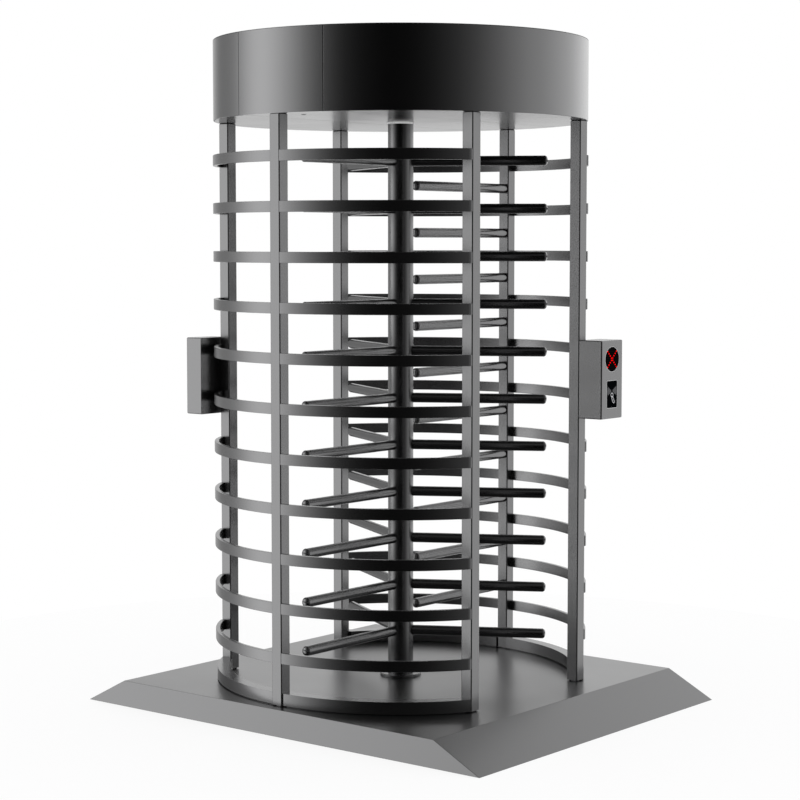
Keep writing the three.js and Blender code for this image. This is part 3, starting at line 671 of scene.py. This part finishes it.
caseShape = {"corner": 0.0048, "cornerSegments": 4, "frontBand": 0.001, "edge": 0.0009,
             "depth": 0.005, "play": 0.0002, "through": 0.01,
             "bracket": {"front": 0.0, "rear": 0.011}, "bracketHeight": 0.2}
rimShape = {"width": 0.0018, "sink": 0.002, "below": 0.0002}  # below the front of the case
signShape = {"radius": 0.0445, "sides": 72, "gap": 0.0002, "below": 0.0006, "edge": 0.0005,
             "pitch": 0.008, "lampRadius": 0.32, "lamps": 4.0, "fromDiagonal": 0.25,
             "core": [(0.0, 1.0), (0.9, 0.55)], "coreSpread": 5.0, "glass": (0.0015, 0.0015, 0.0018, 1),
             "unlit": (0.006, 0.004, 0.004, 1), "lit": (0.3, 0.002, 0.002, 1),
             "red": (1.0, 0.0, 0.0, 1), "glow": 1.3}
windowShape = {"corner": 0.005, "cornerSegments": 6, "inset": 0.0006, "edge": 0.0005,
               "glass": (0.0015, 0.0018, 0.0022, 1), "waves": (0.16, 0.16, 0.165, 1),
               "drawing": (0.6, 0.6, 0.62, 1)}
windowPrint = {  # millimetres from the middle of the window
    "waveUp": 12.0, "waveSlope": 0.6, "wavePitch": 6.0, "waveShare": 0.55, "waveReach": (4.0, 31.0),
    "ring": (1.0, -2.5), "ringRadius": 7.0, "ringLine": 1.2,
    "fob": (4.0, -14.0), "fobLean": (0.53, -0.85), "fobLength": 16.0, "fobRadius": 4.3, "fobLine": 1.1,
}
millimetres = 1000.0
lensGloss = {"Roughness": 0.35, "Specular_IOR_Level": 0.0}


def signMaterial(name, center):
    # a red cross of round lamps, brightest in their middles
    shape = signShape
    finish = Finish(name)
    y, z = finish.axes()[1:]
    across = (y - center.y) * (1 / shape["pitch"])
    up = (z - center.z) * (1 / shape["pitch"])
    column = across.call("FLOOR") + 0.5
    row = up.call("FLOOR") + 0.5
    spot = (across - column) * (across - column) + (up - row) * (up - row)
    lamp = spot < shape["lampRadius"] ** 2
    cross = abs(abs(column) - abs(row)) < shape["fromDiagonal"]
    lit = cross * lamp * (abs(column) < shape["lamps"])
    core = finish.ramp(spot * shape["coreSpread"], shape["core"])
    unlit = finish.mixColor(lamp, shape["glass"], shape["unlit"])
    base = finish.mixColor(lit, unlit, shape["lit"])
    glow = finish.mixColor(lit * core, (0, 0, 0, 1), shape["red"])
    return finish.set(Base_Color=base, Emission_Color=glow, Emission_Strength=shape["glow"], **lensGloss)


def windowMaterial(name, center):
    # a printed sign: waves to both sides of a key fob
    drawn = windowPrint
    finish = Finish(name)
    x, y, z = finish.axes()
    side = (x > 0.0) * 2.0 - 1.0  # turns the print on the reader that faces the other way
    across = (y - center.y) * side * millimetres
    up = (z - center.z) * millimetres

    def distance(u, v):
        return (u * u + v * v).call("SQRT")

    high = up - drawn["waveUp"]
    reach = distance(across, high)
    nearest, farthest = drawn["waveReach"]
    stripes = (reach * (1 / drawn["wavePitch"])).call("FRACT") < drawn["waveShare"]
    ripple = stripes * (reach < farthest) * (reach > nearest)
    waves = (abs(high) < abs(across) * drawn["waveSlope"]) * ripple
    ringAcross, ringUp = drawn["ring"]
    ring = abs(distance(across - ringAcross, up - ringUp) - drawn["ringRadius"]) < drawn["ringLine"]
    # the fob hangs from the ring, leaning to the right
    (fobAcross, fobUp), (leanAcross, leanUp) = drawn["fob"], drawn["fobLean"]
    fromAcross, fromUp = across - fobAcross, up - fobUp
    along = (fromAcross * leanAcross + fromUp * leanUp).call("MAXIMUM", 0.0)
    along = along.call("MINIMUM", drawn["fobLength"])
    away = distance(fromAcross - along * leanAcross, fromUp - along * leanUp)
    fob = abs(away - drawn["fobRadius"]) < drawn["fobLine"]
    base = finish.mixColor(waves, windowShape["glass"], windowShape["waves"])
    base = finish.mixColor(away < drawn["fobRadius"], base, windowShape["glass"])
    base = finish.mixColor(ring.call("MAXIMUM", fob), base, windowShape["drawing"])
    return finish.set(Base_Color=base, **lensGloss)


def between(near, far, low, high, grow=0.0):
    # the corners of a box between two places along X, as large as the given one or larger
    start, end = sorted((near, far))
    return Vector((start, low.y - grow, low.z - grow)), Vector((end, high.y + grow, high.z + grow))


def roundedPlate(low, high, corner):
    # a plate upright in the YZ plane with rounded corners
    piece = addBox(low, high)
    pick(piece, "EDGE", lambda place, along: abs(along.x) > facing)
    bpy.ops.mesh.bevel(offset=corner, segments=windowShape["cornerSegments"], affect="EDGES")
    tidyMesh()
    return piece


def roundPlate(center, radius, near, far):
    piece = addDisc(radius, signShape["sides"], (near, center.y, center.z), (0, math.pi / 2, 0))
    pickAll()
    extrude(x=far - near)
    tidyMesh()
    return piece


class Reader:
    def __init__(self, which):
        self.which = which
        self.low, self.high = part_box(which + "_reader_housing")
        self.outward = 1 if self.high.x > 0 else -1
        ends = (self.low.x, self.high.x)
        self.back, self.face = ends if self.outward > 0 else reversed(ends)
        self.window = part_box(which + "_reader_card_window")
        signLow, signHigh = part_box(which + "_reader_display")
        self.sign = (signLow + signHigh) / 2

    def behind(self, depth):
        # a place that lies so far behind the front of the case
        return self.face - self.outward * depth

    def cutRound(self, piece, radius):
        floor, beyond = self.behind(caseShape["depth"]), self.behind(-caseShape["through"])
        cutWith(piece, roundPlate(self.sign, radius, floor, beyond))

    def cutWindow(self, piece, grow):
        low, high = self.window
        room = Vector((caseShape["through"], grow, grow))
        cutWith(piece, roundedPlate(low - room, high + room, windowShape["corner"] + grow))

    def makeCase(self):
        shape = caseShape
        bracket = shape["bracket"][self.which]
        back = self.back + self.outward * bracket
        case = addBox(*between(self.face, back, self.low, self.high))
        pick(case, "EDGE", lambda place, along: abs(place.x - self.face) < shape["frontBand"]
             or abs(along.x) > facing)
        bpy.ops.mesh.bevel(offset=shape["corner"], segments=shape["cornerSegments"], affect="EDGES")
        tidyMesh()
        wide = shape["play"] + rimShape["width"]
        self.cutRound(case, signShape["radius"] + wide)
        self.cutWindow(case, wide)
        softenEdges(case, shape["edge"])
        if bracket:
            low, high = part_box("post_rear_left")
            middle, half = (self.low.z + self.high.z) / 2, shape["bracketHeight"] / 2
            plate = addBox((back, low.y, middle - half), (back + bracket, high.y, middle + half))
            case = joinAll([case, plate])
        settle(case, self.which + "ReaderCase", "frame", finishes["frame"],
               [self.which + "_reader_housing"])

    def makeRims(self):
        # bright rims round the sign and the window
        width = rimShape["width"]
        root, front = self.behind(rimShape["sink"]), self.behind(rimShape["below"])
        around = roundPlate(self.sign, signShape["radius"] + width, root, front)
        self.cutRound(around, signShape["radius"])
        border = roundedPlate(*between(root, front, *self.window, width), windowShape["corner"] + width)
        self.cutWindow(border, 0.0)
        settle(joinAll([around, border]), self.which + "ReaderRims", "frame", finishes["rim"])

    def makeSign(self):
        shape = signShape
        root = self.behind(caseShape["depth"] - shape["gap"])
        plate = roundPlate(self.sign, shape["radius"], root, self.behind(shape["below"]))
        softenEdges(plate, shape["edge"])
        settle(plate, self.which + "ReaderSign", "frame", signMaterial(self.which + "SignLens", self.sign),
               [self.which + "_reader_display"])

    def makeWindow(self):
        shape = windowShape
        low, high = self.window
        inset = Vector((shape["inset"], 0, 0))
        glass = roundedPlate(low + inset, high - inset, shape["corner"])
        softenEdges(glass, shape["edge"])
        finish = windowMaterial(self.which + "CardLens", (low + high) / 2)
        settle(glass, self.which + "ReaderWindow", "frame", finish,
               [self.which + "_reader_card_window"])


for which in ("front", "rear"):
    reader = Reader(which)
    reader.makeCase()
    reader.makeRims()
    reader.makeSign()
    reader.makeWindow()
print("readers made")


# Gear in the canopy: the solids' own forms with softened edges

gearShape = {"edge": 0.0006, "edgeAngle": 35.0}
gearPieces = {  # solid: body, finish, slot
    "hatch_pin": ("frame", "steel", "plain_steel"),
    "cam_lock": ("cam_lock", "steel", "plain_steel"),
    "rotor_shaft": ("rotor", "steel", "plain_steel"),
    "head_frame": ("frame", "steel", "plain_steel"),
    "top_bearing": ("frame", "rotor", "rotor_coat"),
    "index_disc": ("rotor", "steel", "plain_steel"),
    "roller_arm": ("roller_arm", "steel", "plain_steel"),
    "cam_roller": ("cam_roller", "rubber", "roller_rubber"),
    "entry_pawl": ("entry_pawl", "steel", "plain_steel"),
    "exit_pawl": ("exit_pawl", "steel", "plain_steel"),
    "entry_plunger": ("entry_plunger", "steel", "plain_steel"),
    "exit_plunger": ("exit_plunger", "steel", "plain_steel"),
    "entry_solenoid": ("frame", "copper", "coil_copper"),
    "exit_solenoid": ("frame", "copper", "coil_copper"),
    "control_box": ("frame", "plastic", "black_plastic"),
}
steel = {"brush": (90.0, 3.0, 0.6, (1.0, 1.0, 14.0)), "cloud": (7.0, 4.0, 0.6), "brushShare": 0.6,
         "dark": (0.36, 0.37, 0.38), "light": (0.52, 0.53, 0.54), "smudge": 0.16, "roughness": 0.26,
         "brushStrength": 0.08, "brushHeight": 0.0003}
# copper: grooveShadeShare is how much of the coil's colour is painted shade that follows the windings
copper = {"wire": 0.0012, "patina": (40.0, 4.0, 0.6), "grooveShadeShare": 0.6, "ends": (0.2, 0.8),
          "dark": (0.25, 0.1, 0.045), "light": (0.62, 0.3, 0.16), "metal": 0.9, "smudge": 0.2,
          "roughness": 0.3, "wireStrength": 0.3, "wireHeight": 0.0004}


def plainSteel():
    finish = Finish("plainSteel")
    brushed, cloud = finish.noise(*steel["brush"]), finish.noise(*steel["cloud"])
    mixed = brushed * steel["brushShare"] + cloud * (1 - steel["brushShare"])
    tones = finish.tones(mixed, steel["dark"], steel["light"])
    gloss = brushed * steel["smudge"] + steel["roughness"]
    normal = finish.bump(brushed, steel["brushStrength"], steel["brushHeight"])
    return finish.set(Base_Color=tones, Metallic=1.0, Roughness=gloss, Normal=normal)


def coilCopper():
    # windings seen as fine level rings, in the bump and as painted shade in the colour: darker in the
    # grooves between the wires, lighter on their crowns
    finish = Finish("coilCopper")
    z = finish.axes()[2]
    turns = (z * (2 * math.pi / copper["wire"])).call("SINE") * 0.5 + 0.5
    patina = finish.noise(*copper["patina"])
    # painted shade and highlight: the colour follows the windings, darkest in the grooves, mixed with a
    # patina noise
    mixed = turns * copper["grooveShadeShare"] + patina * (1 - copper["grooveShadeShare"])
    tones = finish.tones(mixed, copper["dark"], copper["light"], copper["ends"])
    gloss = patina * copper["smudge"] + copper["roughness"]
    normal = finish.bump(turns, copper["wireStrength"], copper["wireHeight"])
    return finish.set(Base_Color=tones, Metallic=copper["metal"], Roughness=gloss, Normal=normal)


finishes["steel"] = plainSteel()
finishes["copper"] = coilCopper()
finishes["plastic"] = mouldedPlastic("caseBlack", 0.012, 0.4)
finishes["rubber"] = mouldedPlastic("rollerRubber", 0.018, 0.65)


def makeGear():
    for node, (body, finish, slot) in gearPieces.items():
        piece = mergedCopy(node)
        softenEdges(piece, gearShape["edge"], gearShape["edgeAngle"])
        name = "".join(word.capitalize() for word in node.split("_"))
        settle(piece, "gear" + name, body, finishes[finish], [node])


makeGear()
print("gear made")


# Studio: white floor, a dark room in front and bright walls to the sides and behind

view = {"angle": 38.9, "distance": 7.5335, "height": 1.6893, "aside": -0.0026, "pitch": 4.38,
        "lens": 92.84, "sensor": 36.0}
room = {"strength": 2.0, "evenLight": 0.56, "shown": (1, 1, 1, 1),
        "fade": [(0.0, 1.0), (0.3, 1.0), (0.55, 0.62), (0.77, 0.34), (1.0, 0.2)],
        "overhead": [(0.0, 0.0), (0.28, 0.0), (0.5, 0.035), (1.0, 0.06)]}
roomLight = [  # brightness of the room by the angle from the camera's side, left to right
    (-180, 0.97), (-150, 0.46), (-136, 0.4), (-122, 0.54), (-117, 0.7), (-111, 0.97), (-105, 1.25),
    (-99, 1.48), (-92, 1.58), (-85, 1.48), (-79, 1.28), (-73, 1.05), (-67, 0.82), (-61, 0.58),
    (-55, 0.385), (-50, 0.255), (-44, 0.14), (-37, 0.062), (-28, 0.026), (-15, 0.01), (0, 0.008),
    (13, 0.018), (24, 0.044), (37, 0.1), (50, 0.205), (64, 0.38), (79, 0.6), (100, 0.83), (129, 1.17),
    (146, 1.28), (160, 1.1), (180, 0.97),
]
floorShape = {"radius": 2.4, "sides": 96, "drop": 0.0005, "color": (0.9, 0.9, 0.909, 1.0),
              "roughness": 0.9, "white": 0.85}

viewAngle = math.radians(view["angle"])
toCamera = Vector((math.sin(viewAngle), -math.cos(viewAngle), 0))
toRight = Vector((math.cos(viewAngle), math.sin(viewAngle), 0))
upwards = Vector((0, 0, 1))


def makeCamera():
    data = bpy.data.cameras.new("camera")
    data.lens, data.sensor_width = view["lens"], view["sensor"]
    camera = bpy.data.objects.new("camera", data)
    bpy.context.scene.collection.objects.link(camera)
    camera.location = toCamera * view["distance"] + toRight * view["aside"] + upwards * view["height"]
    camera.rotation_euler = (math.radians(90 - view["pitch"]), 0, viewAngle)
    bpy.context.scene.camera = camera


def makeRoom():
    world = bpy.data.worlds.new("studioRoom")
    bpy.context.scene.world = world
    world.use_nodes = True
    maker = NodeMaker(world.node_tree)
    direction = maker.node("ShaderNodeTexCoord", output="Generated")

    def vectors(operation, *values, output=0):
        return maker.node("ShaderNodeVectorMath", {"operation": operation}, dict(enumerate(values)), output)

    def along(axis):
        return vectors("DOT_PRODUCT", direction, axis, output="Value")

    turn = along(toRight).call("ARCTAN2", along(toCamera))
    # a ramp holds no more than 1, so its levels are shared out and the strength brings them back
    stops = [(0.5 + angle / 360, level / room["strength"]) for angle, level in roomLight]
    around = maker.ramp(turn / (2 * math.pi) + 0.5, stops)
    # the room grows dimmer upwards and downwards, and a faint even light hangs over it
    height = along(upwards)
    fade = maker.ramp(abs(height), room["fade"])
    overhead = maker.ramp(height, room["overhead"])
    around = vectors("MULTIPLY_ADD", around, fade, overhead)
    around = vectors("MAXIMUM", around, maker.ray("Diffuse") * room["evenLight"])
    lit = maker.node("ShaderNodeBackground", {}, {"Color": around, "Strength": room["strength"]})
    shown = world.node_tree.nodes["Background"]
    maker.feed(shown.inputs["Color"], room["shown"])
    inputs = {0: maker.ray("Camera"), 1: lit, 2: Value(maker, shown.outputs[0])}
    mixed = maker.node("ShaderNodeMixShader", {}, inputs)
    maker.feed(world.node_tree.nodes["World Output"].inputs["Surface"], mixed)


def makeFloor():
    floor = addDisc(floorShape["radius"], floorShape["sides"], (0, 0, -floorShape["drop"]))
    floor.name = "studioFloor"
    pale = Finish("studioFloorPale")
    pale.set(Base_Color=floorShape["color"], Roughness=floorShape["roughness"])
    seen = (pale.ray("Camera") + pale.ray("Glossy") + pale.ray("Transmission")).call("MINIMUM", 1.0)
    white = pale.node("ShaderNodeEmission")
    inputs = {0: seen * floorShape["white"], 1: Value(pale, pale.shader.outputs[0]), 2: white}
    mixed = pale.node("ShaderNodeMixShader", {}, inputs)
    pale.feed(pale.tree.nodes["Material Output"].inputs["Surface"], mixed)
    floor.data.materials.append(pale.material)
    floor.visible_glossy = False  # the coats mirror the room alone, as in the photograph


makeCamera()
makeRoom()
makeFloor()
print("studio made")
